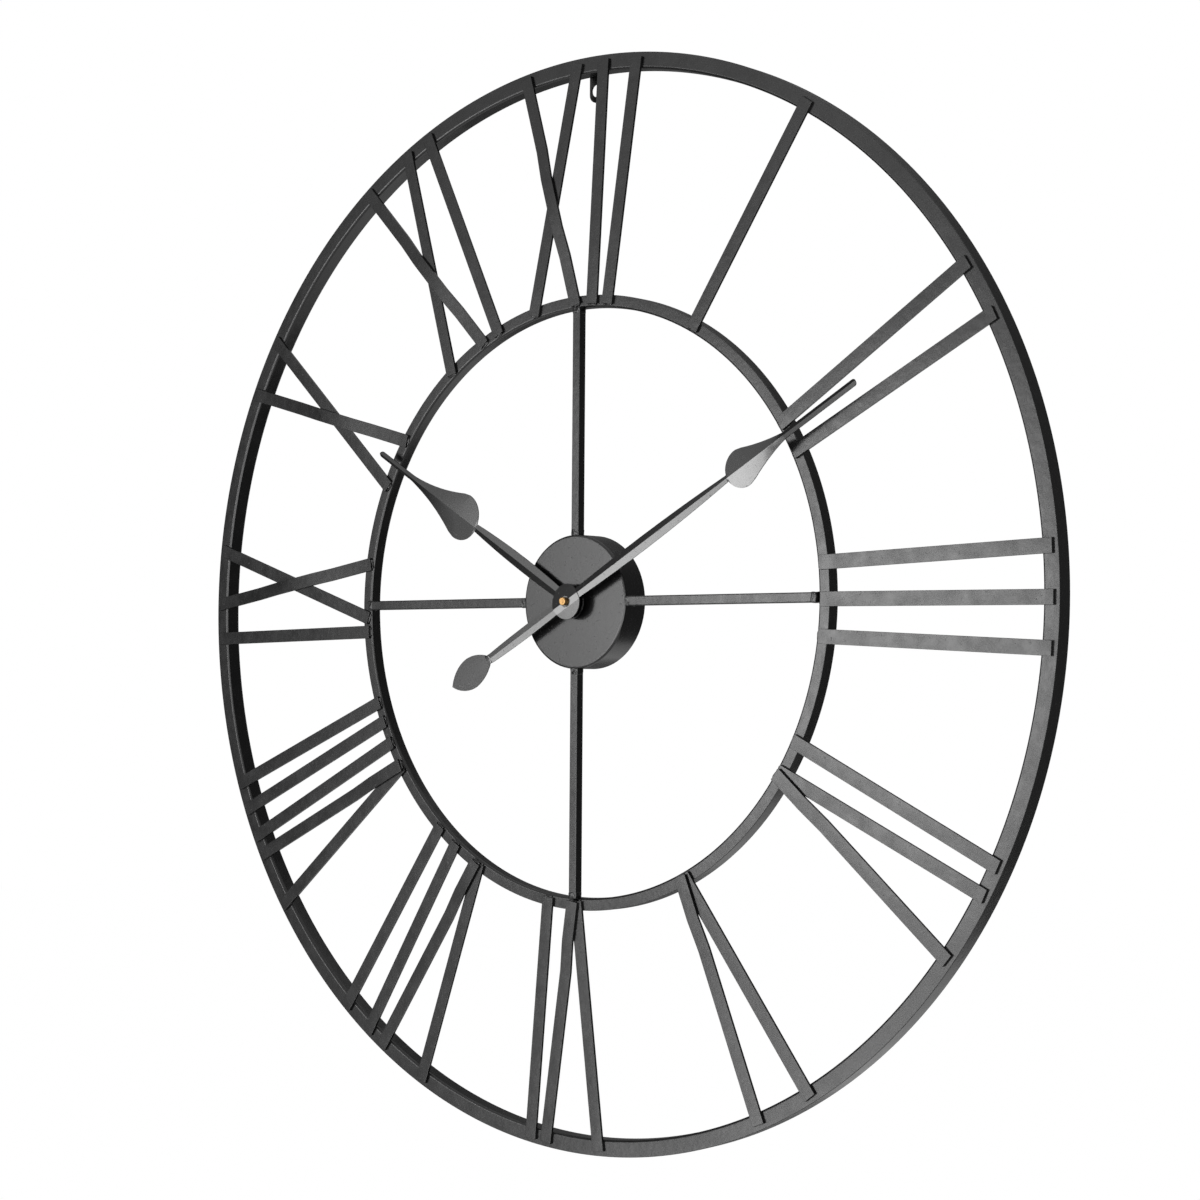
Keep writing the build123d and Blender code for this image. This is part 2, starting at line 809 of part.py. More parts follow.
def half_outline(outline):
    """One side of a hand's outline, from its inner end to its tip."""
    root = outline["root_half_width"]
    neck = (shoulder_start(outline), outline["neck_half_width"])
    middle = outline["spade_middle"]
    radius = outline["spade_radius"]
    taper = radians(outline["taper_angle"])
    crown = (middle - radius * sin(pi / 4), radius * cos(pi / 4))
    taper_start = (middle + radius * sin(taper), radius * cos(taper))
    tip = outline["tip_half_width"]
    reach = outline["reach"]
    taper_end = (outline["taper_end"], tip)
    round_end = (reach - tip, tip)
    round_middle = (reach - tip + tip * sin(pi / 4), tip * cos(pi / 4))
    shaft_middle = (outline["shaft_middle"], outline["shaft_half_width"])
    sides = [
        Line((0, root), (hand_bush_radius, root)),
        ThreePointArc((hand_bush_radius, root), shaft_middle, neck),
        ThreePointArc(neck, crown, taper_start),
        TangentArc(taper_start, taper_end, tangent=(cos(taper), -sin(taper))),
        Line(taper_end, round_end),
        ThreePointArc(round_end, round_middle, (reach, 0)),
    ]
    tail = outline["tail_reach"]
    if tail:
        neck = (-tail_neck, tail_neck_half_width)
        widest = (-leaf_middle, leaf_half_width)
        sides += [
            ThreePointArc((0, root), (-tail_middle, tail_half_width), neck),
            ThreePointArc(neck, (-leaf_shoulder, leaf_shoulder_half_width), widest),
            ThreePointArc(widest, (-leaf_point, leaf_point_half_width), (-tail, 0)),
        ]
    else:
        sides.append(Line((0, root), (0, 0)))
    return sides


def fold_sections(outline):
    """Distance along the hand and half width of the fold there, from the inner end to the tip."""
    shaft = outline["shaft_half_width"] + hand_width_margin
    spade = outline["spade_radius"] + hand_width_margin
    tip = outline["tip_half_width"] + hand_width_margin
    shoulder = shoulder_start(outline)
    sections = [
        (shoulder - fold_change / 2, shaft),
        (shoulder + fold_change / 2, spade),
        (outline["spade_middle"], spade),
        (outline["taper_end"], tip),
        (outline["reach"] + hand_width_margin, tip),
    ]
    if outline["tail_reach"]:
        tail = outline["tail_reach"] + hand_width_margin
        inner = [
            (-tail, flat_leaf_spread),
            (-tail_neck - fold_change, flat_leaf_spread),
            (-tail_neck + fold_change, shaft),
        ]
    else:
        inner = [(-hand_width_margin, shaft)]
    return inner + sections


def folded_sheet(outline):
    """Sheet with a straight ridge, wider and flatter at the spade and the leaf."""
    wires = []
    for along, half in fold_sections(outline):
        corners = [
            (along, -half, 0),
            (along, 0, hand_ridge),
            (along, half, 0),
            (along, half, hand_sheet),
            (along, 0, hand_ridge + hand_sheet),
            (along, -half, hand_sheet),
        ]
        wires.append(Wire(Polyline(*corners, close=True).edges()))
    return Solid.make_loft(wires, ruled=True)


def hand(outline, angle, back):
    """A pressed hand: an outline cut from the folded sheet, and a domed boss with a hole."""
    sides = half_outline(outline)
    other_sides = [side.mirror(Plane.XZ) for side in sides]
    if not outline["tail_reach"]:
        sides = sides[:-1]
        other_sides = other_sides[:-1]
        sides.append(Line((0, -outline["root_half_width"]), (0, outline["root_half_width"])))
    face = make_face(Curve() + sides + other_sides)
    blade = extrude(face, hand_ridge + hand_sheet) & folded_sheet(outline)
    dome = Polyline(
        (0, 0, hand_ridge),
        (hand_bush_radius, 0, hand_ridge),
        (hand_boss_radius, 0, 0),
        (hand_boss_radius, 0, hand_sheet),
        (hand_bush_radius, 0, hand_ridge + hand_sheet),
        (0, 0, hand_ridge + hand_sheet),
        close=True,
    )
    boss = revolve(make_face(dome), Axis.Z)
    blank = blade + boss
    bore = Cylinder(hand_bush_radius, 2 * blank.bounding_box().max.Z)
    bore = Pos(0, 0, blank.bounding_box().max.Z / 2) * bore
    return hand_place(angle, back) * (blank - bore)


def hand_bush(bore, back):
    """The brass bush riveted into a hand."""
    rear = back + hand_bush_flange
    front = back - hand_ridge - hand_sheet - hand_bush_head
    body = rod(hand_bush_radius, front, rear)
    return body - rod(bore, front, rear)


def hand_nut():
    seat = minute_hand_back - hand_ridge - hand_sheet - hand_bush_head
    front = arbor_tip + hand_nut_end_gap
    body = rod(hand_nut_radius, front, seat)
    front_edge = body.edges().sort_by(Axis.Y)[0]
    body = fillet(front_edge, hand_nut_chamfer)
    return body - rod(minute_thread_radius, front, seat)


nodes = {
    "outer_ring": ring(outer_ring_radius, outer_ring_width, outer_ring_depth),
    "inner_ring": ring(inner_ring_radius, inner_ring_width, inner_ring_depth),
    "hanger_tab": hanger_tab(),
    "movement_cup": movement_cup(),
    "movement_case": movement_case(),
    "movement_cover": movement_cover(),
    "train_plate": train_plate(),
    "threaded_bush": threaded_bush(),
    "rubber_gasket": collar(gasket_radius, bush_radius + bush_clearance, cup_floor, case_front),
    "fixing_washer": collar(washer_radius, bush_radius + bush_clearance, washer_front, cup_front),
    "fixing_nut": fixing_nut(),
    "circuit_board": circuit_board(),
    "quartz_crystal": quartz_crystal(),
    "motor_coil": motor_coil(),
    "coil_core": coil_core(),
    "motor_stator": motor_stator(),
    "positive_contact": positive_contact(),
    "negative_contact": negative_contact(),
    "battery": battery(),
    "motor_rotor": motor_rotor(),
    "intermediate_wheel": intermediate_wheel(),
    "seconds_wheel": seconds_wheel(),
    "third_wheel": third_wheel(),
    "centre_wheel": centre_wheel(),
    "minute_arbor": minute_arbor(),
    "motion_wheel": motion_wheel(),
    "set_knob": set_knob(),
    "hour_wheel": hour_wheel(),
    "hour_hand": hand(hour_outline, hour_hand_angle, hour_hand_back),
    "hour_hand_bush": hand_bush(hour_pipe_radius, hour_hand_back),
    "minute_hand": hand(minute_outline, minute_hand_angle, minute_hand_back),
    "minute_hand_bush": hand_bush(minute_thread_radius, minute_hand_back),
    "hand_nut": hand_nut(),
}
for hour, strokes in enumerate(numeral_strokes, start=1):
    nodes[f"numeral_{hour:02d}"] = numeral(hour, strokes)
    if hour * spoke_count % len(numeral_strokes) == 0:
        nodes[f"spoke_{hour:02d}"] = spoke(hour)

os.makedirs("parts", exist_ok=True)
for name, shape in nodes.items():
    export_step(shape, f"parts/{name}.step")
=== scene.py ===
import bpy
import json
import math
from mathutils import Matrix, Vector

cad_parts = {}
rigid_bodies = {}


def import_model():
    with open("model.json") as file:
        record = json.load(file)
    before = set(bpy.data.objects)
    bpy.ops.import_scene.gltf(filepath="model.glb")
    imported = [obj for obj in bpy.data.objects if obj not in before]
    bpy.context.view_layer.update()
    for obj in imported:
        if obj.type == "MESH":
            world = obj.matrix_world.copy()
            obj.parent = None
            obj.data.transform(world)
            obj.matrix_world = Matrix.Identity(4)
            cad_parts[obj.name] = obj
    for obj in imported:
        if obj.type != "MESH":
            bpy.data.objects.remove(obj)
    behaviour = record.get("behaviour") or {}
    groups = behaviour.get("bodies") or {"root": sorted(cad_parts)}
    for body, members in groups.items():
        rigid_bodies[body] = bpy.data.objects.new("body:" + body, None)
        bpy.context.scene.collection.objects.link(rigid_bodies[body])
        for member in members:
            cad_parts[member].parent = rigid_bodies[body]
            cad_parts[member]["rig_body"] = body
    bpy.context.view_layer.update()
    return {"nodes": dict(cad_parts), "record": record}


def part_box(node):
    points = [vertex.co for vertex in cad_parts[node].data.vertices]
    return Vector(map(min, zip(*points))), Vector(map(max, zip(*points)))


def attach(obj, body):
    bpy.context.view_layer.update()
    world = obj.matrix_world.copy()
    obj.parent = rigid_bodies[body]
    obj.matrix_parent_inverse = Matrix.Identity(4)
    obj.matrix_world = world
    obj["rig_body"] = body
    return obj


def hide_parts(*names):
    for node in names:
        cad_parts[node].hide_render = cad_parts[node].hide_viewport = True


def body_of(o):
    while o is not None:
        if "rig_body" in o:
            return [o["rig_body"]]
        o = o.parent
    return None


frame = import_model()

nodes = frame["nodes"]
mm = 0.001
print("frame loaded:", len(nodes), "nodes")


# Shader maths and nodes

class Socket:
    def __init__(self, finish, output):
        self.finish = finish
        self.output = output

    def maths(self, operation, first, second):
        return self.finish.node("ShaderNodeMath", {"operation": operation}, {0: first, 1: second})

    def __add__(self, other):
        return self.maths("ADD", self, other)

    def __sub__(self, other):
        return self.maths("SUBTRACT", self, other)

    def __rsub__(self, other):
        return self.maths("SUBTRACT", other, self)

    def __mul__(self, other):
        return self.maths("MULTIPLY", self, other)

    __radd__ = __add__
    __rmul__ = __mul__

    def power(self, other):
        return self.maths("POWER", self, other)

    def above(self, level, soft):        # 0 below the level, 1 a little above it
        settings = {"clamp": True, "interpolation_type": "SMOOTHSTEP"}
        sockets = {"Value": self, "From Min": level, "From Max": level + soft}
        return self.finish.node("ShaderNodeMapRange", settings, sockets)


class Finish:
    def __init__(self, owner):
        owner.use_nodes = True
        self.owner = owner
        self.tree = owner.node_tree
        self.tree.nodes.clear()

    def node(self, kind, settings=None, sockets=None, output=0):
        made = self.tree.nodes.new(kind)
        for name, value in (settings or {}).items():
            setattr(made, name, value)
        for name, value in (sockets or {}).items():
            if isinstance(value, Socket):
                self.tree.links.new(value.output, made.inputs[name])
            else:
                made.inputs[name].default_value = value
        return Socket(self, made.outputs[output]) if made.outputs else made

    def place(self):
        return self.node("ShaderNodeTexCoord", output="Object")

    def noise(self, where, scale, detail=2.0, roughness=0.5):
        sockets = {"Vector": where, "Scale": scale, "Detail": detail, "Roughness": roughness}
        return self.node("ShaderNodeTexNoise", None, sockets)

    def mix(self, share, first, second):         # colours
        sockets = {0: share, 6: (*first, 1.0) if isinstance(first, tuple) else first,
                   7: (*second, 1.0) if isinstance(second, tuple) else second}
        return self.node("ShaderNodeMix", {"data_type": "RGBA"}, sockets, output=2)

    def bump(self, height, depth):               # depth in metres
        return self.node("ShaderNodeBump", None, {"Height": height, "Distance": depth, "Strength": 1.0})

    def surface(self, **sockets):                # ends the material
        named = {name.replace("_", " "): value for name, value in sockets.items()}
        shader = self.node("ShaderNodeBsdfPrincipled", None, named)
        self.node("ShaderNodeOutputMaterial", None, {"Surface": shader})
        return self.owner


def newFinish(name):
    return Finish(bpy.data.materials.new(name))


# Finishes

def coatFinish(name, coat):
    finish = newFinish(name)
    where = finish.place()
    grain = finish.noise(where, coat["grainScale"], detail=3.0, roughness=0.6)
    peel = finish.noise(where, coat["peelScale"], detail=1.0)
    cloud = finish.noise(where, coat["cloudScale"], detail=4.0, roughness=0.62)
    speck = finish.noise(where, coat["speckScale"], detail=2.0, roughness=0.7)
    speck = speck.above(coat["speckLevel"], coat["speckSoft"])
    colour = finish.mix(cloud, coat["dark"], coat["light"])
    colour = finish.mix(speck * coat["speckShare"], colour, coat["speckColour"])
    roughness = coat["roughness"] + (cloud - 0.5) * coat["cloudRoughness"]
    roughness = roughness + (grain - 0.5) * coat["grainRoughness"] + speck * coat["speckRoughness"]
    wave = finish.noise(where, coat["waveScale"], detail=0.0)
    height = grain * coat["grainHeight"] + peel * coat["peelHeight"] + wave * coat["waveHeight"]
    return finish.surface(
        Base_Color=colour,
        Roughness=roughness,
        Specular_IOR_Level=coat["gloss"],
        Normal=finish.bump(height, 1.0),
    )


powderCoat = {                   # rolled and flat bar under black powder
    "dark": (0.003, 0.003, 0.0032),
    "light": (0.015, 0.015, 0.0155),
    "speckColour": (0.06, 0.06, 0.062),
    "speckScale": 420.0,
    "speckLevel": 0.64,
    "speckSoft": 0.08,
    "speckShare": 0.5,
    "speckRoughness": 0.12,
    "roughness": 0.25,
    "cloudRoughness": 0.24,
    "cloudScale": 70.0,
    "grainScale": 1500.0,
    "grainHeight": 0.000010,     # metres
    "grainRoughness": 0.08,
    "peelScale": 200.0,
    "peelHeight": 0.00006,
    "waveScale": 14.0,           # the slow unevenness of bar bent by hand
    "waveHeight": 0.0006,
    "gloss": 0.40,
}
cupCoat = dict(
    powderCoat,
    dark=(0.007, 0.007, 0.0073),
    light=(0.013, 0.013, 0.0133),
    gloss=0.45,
    roughness=0.24,
    cloudRoughness=0.08,
    cloudScale=34.0,
    speckShare=0.15,
    peelHeight=0.000012,
    grainHeight=0.000005,
    waveHeight=0.0,
)
handCoat = dict(
    cupCoat,
    dark=(0.003, 0.003, 0.0032),
    light=(0.006, 0.006, 0.0062),
    roughness=0.19,
    cloudRoughness=0.04,
    cloudScale=50.0,
    speckShare=0.05,
    grainHeight=0.000001,
    peelHeight=0.000003,
    waveHeight=0.0002,
    gloss=0.75,
)

turnedBrass = {
    "dark": (0.22, 0.12, 0.045),
    "light": (0.50, 0.31, 0.13),
    "tarnishScale": 700.0,
    "roughness": 0.30,
    "tarnishRoughness": 0.16,
    "turnScale": 5200.0,         # tool marks round the hand axis
    "turnDepth": 0.000004,
}


def brassFinish(name):
    finish = newFinish(name)
    where = finish.place()
    across = finish.node("ShaderNodeSeparateXYZ", None, {0: where}, output="X")
    upward = finish.node("ShaderNodeSeparateXYZ", None, {0: where}, output="Z")
    radius = (across * across + upward * upward).power(0.5)
    turning = finish.node("ShaderNodeMath", {"operation": "SINE"}, {0: radius * turnedBrass["turnScale"]})
    tarnish = finish.noise(where, turnedBrass["tarnishScale"], detail=4.0, roughness=0.6)
    return finish.surface(
        Base_Color=finish.mix(tarnish, turnedBrass["dark"], turnedBrass["light"]),
        Metallic=1.0,
        Roughness=turnedBrass["roughness"] + tarnish * turnedBrass["tarnishRoughness"],
        Normal=finish.bump(turning, turnedBrass["turnDepth"]),
    )


casePlastic = {
    "dark": (0.012, 0.012, 0.013),
    "light": (0.022, 0.022, 0.023),
    "cloudScale": 160.0,
    "roughness": 0.48,
    "sparkScale": 2400.0,
    "sparkRoughness": 0.2,
    "sparkDepth": 0.00003,
    "gloss": 0.4,
}
wheelPlastic = dict(casePlastic, dark=(0.70, 0.68, 0.61), light=(0.82, 0.80, 0.74), roughness=0.40)
gasketRubber = dict(casePlastic, dark=(0.012, 0.012, 0.012), light=(0.025, 0.025, 0.025), roughness=0.70)


def mouldedFinish(name, moulding):
    finish = newFinish(name)
    where = finish.place()
    spark = finish.noise(where, moulding["sparkScale"], detail=2.0, roughness=0.6)
    cloud = finish.noise(where, moulding["cloudScale"], detail=3.0)
    return finish.surface(
        Base_Color=finish.mix(cloud, moulding["dark"], moulding["light"]),
        Roughness=moulding["roughness"] + (spark - 0.5) * moulding["sparkRoughness"],
        Specular_IOR_Level=moulding["gloss"],
        Normal=finish.bump(spark, moulding["sparkDepth"]),
    )


circuitBoard = {
    "tracks": {
        "Scale": 420.0,
        "Mortar Size": 0.06,
        "Color1": (0.02, 0.16, 0.07, 1),
        "Color2": (0.03, 0.20, 0.09, 1),
        "Mortar": (0.05, 0.30, 0.14, 1),
    },
    "roughness": 0.3,
    "smearScale": 900.0,
    "smearRoughness": 0.1,
}


def boardFinish(name):
    finish = newFinish(name)
    where = finish.place()
    tracks = finish.node("ShaderNodeTexBrick", None, {"Vector": where, **circuitBoard["tracks"]})
    smear = finish.noise(where, circuitBoard["smearScale"])
    roughness = circuitBoard["roughness"] + smear * circuitBoard["smearRoughness"]
    return finish.surface(Base_Color=tracks, Roughness=roughness)


winding = {
    # dark is a painted shade in the grooves between the turns of wire, light a painted highlight on their
    # crowns
    "dark": (0.30, 0.11, 0.05),
    "light": (0.72, 0.36, 0.17),
    "wireScale": 2600.0,
    "wireDepth": 0.00003,
    "metallic": 0.9,
    "roughness": 0.32,
}


def windingFinish(name):
    finish = newFinish(name)
    sockets = {"Vector": finish.place(), "Scale": winding["wireScale"]}
    wire = finish.node("ShaderNodeTexWave", {"bands_direction": "X"}, sockets)
    return finish.surface(
        # the colour follows the wire bands as the bump does: painted shade in the grooves between the turns,
        # painted highlight on their crowns
        Base_Color=finish.mix(wire, winding["dark"], winding["light"]),
        Metallic=winding["metallic"],
        Roughness=winding["roughness"],
        Normal=finish.bump(wire, winding["wireDepth"]),
    )


platedSteel = {
    "dark": (0.42, 0.42, 0.43),
    "light": (0.62, 0.62, 0.63),
    "brushScale": 700.0,
    "brushStretch": (1.0, 14.0, 14.0),
    "roughness": 0.26,
    "brushRoughness": 0.16,
}


def steelFinish(name):
    finish = newFinish(name)
    sockets = {"Vector": finish.place(), "Scale": platedSteel["brushStretch"]}
    stretched = finish.node("ShaderNodeMapping", None, sockets)
    brushed = finish.noise(stretched, platedSteel["brushScale"], detail=4.0, roughness=0.7)
    return finish.surface(
        Base_Color=finish.mix(brushed, platedSteel["dark"], platedSteel["light"]),
        Metallic=1.0,
        Roughness=platedSteel["roughness"] + brushed * platedSteel["brushRoughness"],
    )


jacket = {
    "bandStart": 12.0 * mm,      # along the cell
    "capStart": 23.2 * mm,
    "baseStart": 24.4 * mm,
    "soft": 0.1 * mm,
    "black": (0.015, 0.016, 0.018),
    "copper": (0.60, 0.33, 0.16),
    "steel": (0.60, 0.60, 0.61),
    "metallic": 0.1,
    "copperMetallic": 0.75,
    "roughness": 0.24,
    "scuffScale": 900.0,
    "scuffRoughness": 0.16,
}


def jacketFinish(name):
    finish = newFinish(name)
    where = finish.place()
    along = finish.node("ShaderNodeSeparateXYZ", None, {0: where}, output="X")
    copper = along.above(jacket["bandStart"], jacket["soft"])
    cap = along.above(jacket["capStart"], jacket["soft"])
    base = (0.0 - along).above(jacket["baseStart"], jacket["soft"])
    scuff = finish.noise(where, jacket["scuffScale"], detail=4.0, roughness=0.65)
    printed = finish.mix(copper, jacket["black"], jacket["copper"])
    return finish.surface(
        Base_Color=finish.mix(cap + base, printed, jacket["steel"]),
        Metallic=copper * jacket["copperMetallic"] + jacket["metallic"],
        Roughness=jacket["roughness"] + scuff * jacket["scuffRoughness"],
    )


finishes = {
    "powder_coat": coatFinish("blackPowderCoat", powderCoat),
    "cup_coat": coatFinish("hubPowderCoat", cupCoat),
    "hand_coat": coatFinish("handPaint", handCoat),
    "brass": brassFinish("turnedBrass"),
    "case_plastic": mouldedFinish("blackCasePlastic", casePlastic),
    "wheel_plastic": mouldedFinish("ivoryWheelPlastic", wheelPlastic),
    "gasket_rubber": mouldedFinish("blackRubber", gasketRubber),
    "board": boardFinish("greenBoard"),
    "copper_wire": windingFinish("copperWinding"),
    "plated_steel": steelFinish("platedSteel"),
    "battery_jacket": jacketFinish("batteryJacket"),
}
nodeSlots = {part["node"]: part["material_slot"] for part in frame["record"]["subparts"]}
for nodeName, slotName in nodeSlots.items():
    nodes[nodeName].data.materials.clear()
    nodes[nodeName].data.materials.append(finishes[slotName])
print("finishes made:", len(finishes))


# Modelling helpers
copying = {"mergeGap": 0.002 * mm, "flatAngle": 0.4}     # angle in degrees


def clearSelection():
    if bpy.context.mode != "OBJECT":
        bpy.ops.object.mode_set(mode="OBJECT")
    bpy.ops.object.select_all(action="DESELECT")


def pick(piece):
    clearSelection()
    piece.select_set(True)
    bpy.context.view_layer.objects.active = piece


def editAll(piece):
    pick(piece)
    bpy.ops.object.mode_set(mode="EDIT")
    bpy.ops.mesh.select_all(action="SELECT")


def pickFaces(piece, wanted):                    # leaves the piece in edit mode with those faces selected
    editAll(piece)
    bpy.ops.mesh.select_mode(type="FACE")
    bpy.ops.mesh.select_all(action="DESELECT")
    bpy.ops.object.mode_set(mode="OBJECT")
    for face in piece.data.polygons:
        face.select = wanted(face)
    bpy.ops.object.mode_set(mode="EDIT")


def applyModifier(piece, kind, **settings):
    pick(piece)
    modifier = piece.modifiers.new(kind, kind)
    for name, value in settings.items():
        setattr(modifier, name, value)
    bpy.ops.object.modifier_apply(modifier=modifier.name)


def copyOfNode(nodeName, pieceName):             # a merged copy with its flat faces whole again
    source = nodes[nodeName]
    piece = bpy.data.objects.new(pieceName, source.data.copy())
    bpy.context.scene.collection.objects.link(piece)
    pick(piece)
    bpy.ops.mesh.customdata_custom_splitnormals_clear()
    editAll(piece)
    bpy.ops.mesh.remove_doubles(threshold=copying["mergeGap"])
    bpy.ops.mesh.dissolve_limited(angle_limit=math.radians(copying["flatAngle"]))
    clearSelection()
    return piece


def softenEdges(piece, edge):                    # rounds the edges sharper than the angle, if it has a width
    if edge["width"]:
        applyModifier(piece, "BEVEL", width=edge["width"], segments=edge["segments"], limit_method="ANGLE",
                      angle_limit=math.radians(edge["angle"]))
    pick(piece)
    bpy.ops.object.shade_smooth_by_angle(angle=math.radians(edge["smooth"]))
    applyModifier(piece, "WEIGHTED_NORMAL", keep_sharp=True)


def finishPiece(piece, body, slotName, *stoodFor):
    piece.data.materials.clear()
    piece.data.materials.append(finishes[slotName])
    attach(piece, body)
    if stoodFor:
        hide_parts(*stoodFor)


def dressNode(nodeName, pieceName, edge):        # the CAD shape with its edges as they are made
    piece = copyOfNode(nodeName, pieceName)
    softenEdges(piece, edge)
    finishPiece(piece, body_of(nodes[nodeName])[0], nodeSlots[nodeName], nodeName)


def joinPieces(pieces, pieceName):               # one piece, still at the origin
    pick(pieces[0])
    for piece in pieces[1:]:
        piece.select_set(True)
    bpy.ops.object.join()
    pieces[0].name = pieceName
    return pieces[0]


def placedCopy(piece, place):                    # a copy with its own mesh, its place worked into the mesh
    pick(piece)
    bpy.ops.object.duplicate()
    copied = bpy.context.object
    copied.matrix_world = place
    bpy.ops.object.transform_apply()
    return copied


def removePiece(piece):
    pick(piece)
    bpy.ops.object.delete()


# Numerals: flat bar with its edges just broken under the coat
barEdge = {"width": 0.25 * mm, "segments": 2, "angle": 30.0, "smooth": 40.0}
for hour in range(1, 13):
    dressNode(f"numeral_{hour:02d}", f"numeralBars{hour:02d}", barEdge)
print("numerals dressed")


# Rings: bar rolled the hard way, which upsets the inner edge round and draws the outer edge sharp
ringBars = {
    "outer_ring": {"piece": "outerRing", "width": 12.0 * mm, "innerEdge": 1.9 * mm, "outerEdge": 0.4 * mm},
    "inner_ring": {"piece": "innerRing", "width": 9.0 * mm, "innerEdge": 1.7 * mm, "outerEdge": 0.4 * mm},
}
ringRolling = {"steps": 360, "innerSegments": 8, "outerSegments": 3, "near": 0.01 * mm}
rolledEdge = {"width": 0.0, "smooth": 32.0}      # no bevel, clean shading


def roundCorner(piece, wanted, radius, segments):
    editAll(piece)
    bpy.ops.mesh.select_mode(type="VERT")
    bpy.ops.mesh.select_all(action="DESELECT")
    bpy.ops.object.mode_set(mode="OBJECT")
    for corner in piece.data.vertices:
        corner.select = wanted(corner.co)
    bpy.ops.object.mode_set(mode="EDIT")
    bpy.ops.mesh.bevel(offset=radius, segments=segments, affect="VERTICES")


def rollRing(nodeName, ring):                    # the bar's section, spun round the hand axis
    low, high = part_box(nodeName)
    front, back, outer = low[1], high[1], high[0]
    inner = outer - ring["width"]
    middle = (inner + outer) / 2
    clearSelection()
    bpy.ops.mesh.primitive_plane_add(size=1.0, location=(0, 0, 0))
    bar = bpy.context.object
    bar.name = ring["piece"]
    editAll(bar)
    bpy.ops.transform.resize(value=(ring["width"], back - front, 1.0))
    bpy.ops.transform.translate(value=(middle, (front + back) / 2, 0.0))
    bpy.ops.object.mode_set(mode="OBJECT")
    near = ringRolling["near"]
    roundCorner(bar, lambda place: place.x < inner + near, ring["innerEdge"], ringRolling["innerSegments"])
    roundCorner(bar, lambda place: place.x > outer - near, ring["outerEdge"], ringRolling["outerSegments"])
    bpy.ops.mesh.select_all(action="SELECT")
    bpy.ops.mesh.delete(type="ONLY_FACE")
    bpy.ops.mesh.select_all(action="SELECT")
    bpy.ops.mesh.spin(steps=ringRolling["steps"], angle=2 * math.pi, center=(0, 0, 0), axis=(0, 1, 0))
    bpy.ops.mesh.select_all(action="SELECT")
    bpy.ops.mesh.remove_doubles(threshold=near)
    bpy.ops.mesh.normals_make_consistent(inside=False)
    clearSelection()
    softenEdges(bar, rolledEdge)
    finishPiece(bar, "frame", nodeSlots[nodeName], nodeName)


for nodeName, ring in ringBars.items():
    rollRing(nodeName, ring)


# Hub and spokes keep the edges that the CAD gives them, the tab and the hands get theirs broken
sheetEdge = {"width": 0.3 * mm, "segments": 2, "angle": 40.0, "smooth": 32.0}
pressedEdge = {"width": 0.12 * mm, "segments": 2, "angle": 45.0, "smooth": 6.0}      # leaves the ridge sharp
dressNode("movement_cup", "hubCup", rolledEdge)
dressNode("hanger_tab", "hangerTab", sheetEdge)
for hour in (12, 3, 6, 9):
    dressNode(f"spoke_{hour:02d}", f"spokeBar{hour:02d}", rolledEdge)
dressNode("hour_hand", "hourHand", pressedEdge)


# Minute hand: its boss is a washer that carries the fold of the hand across
foldedBoss = {
    "angle": 60.75,              # of the minute hand, clockwise from 12
    "sides": 96,
    "radius": 13.06 * mm,
    "hole": 4.1 * mm,
    "seat": 13.02 * mm,          # cut out of the hand
    "seatDepth": 20.0 * mm,
    "ridge": -14.5 * mm,
    "leftSlope": 0.185,          # fall from the ridge to each side
    "rightSlope": 0.25,
    "rightHalf": 4.5 * mm,
    "rimSlope": 0.03,
    "sheet": 1.0 * mm,
    "edge": {"width": 0.1 * mm, "segments": 2, "angle": 45.0, "smooth": 6.0},
}
flatTail = {                     # its tail is pressed flatter than its shaft, and leans to the right
    "start": -3.0 * mm,          # along the hand, from the axis
    "fadeStart": -86.0 * mm,
    "fadeEnd": -89.0 * mm,
    "ridgeDrop": 0.45 * mm,      # at the axis, none where the fade starts
    "foldSlope": 0.25,           # of the solid
    "leftSlope": 0.08,
    "rightSlope": 0.21,
}


def tailShift(along, across):
    fade = (along - flatTail["fadeEnd"]) / (flatTail["fadeStart"] - flatTail["fadeEnd"])
    drop = flatTail["ridgeDrop"] * max(1.0 - along / flatTail["fadeStart"], 0.0)
    slope = flatTail["rightSlope"] if across > 0 else flatTail["leftSlope"]
    return (drop + (slope - flatTail["foldSlope"]) * abs(across)) * min(max(fade, 0.0), 1.0)


def dressMinuteHand():
    hand = copyOfNode("minute_hand", "minuteHand")
    turn = math.radians(foldedBoss["angle"])
    for corner in hand.data.vertices:
        place = corner.co
        along = place.x * math.sin(turn) + place.z * math.cos(turn)
        across = place.x * math.cos(turn) - place.z * math.sin(turn)
        if along < flatTail["start"]:
            place.y += tailShift(along, across)
    clearSelection()
    bpy.ops.mesh.primitive_cylinder_add(vertices=foldedBoss["sides"], radius=foldedBoss["seat"],
                                        depth=foldedBoss["seatDepth"], location=(0, foldedBoss["ridge"], 0),
                                        rotation=(math.pi / 2, 0, 0))
    cutter = bpy.context.object
    applyModifier(hand, "BOOLEAN", operation="DIFFERENCE", solver="EXACT", object=cutter)
    removePiece(cutter)
    softenEdges(hand, pressedEdge)
    finishPiece(hand, "minute", nodeSlots["minute_hand"], "minute_hand")


def foldLevel(offRidge):                         # to the right of it is positive
    if offRidge < 0:
        return foldedBoss["ridge"] - offRidge * foldedBoss["leftSlope"]
    outside = max(offRidge - foldedBoss["rightHalf"], 0.0)
    fall = (offRidge - outside) * foldedBoss["rightSlope"] + outside * foldedBoss["rimSlope"]
    return foldedBoss["ridge"] + fall


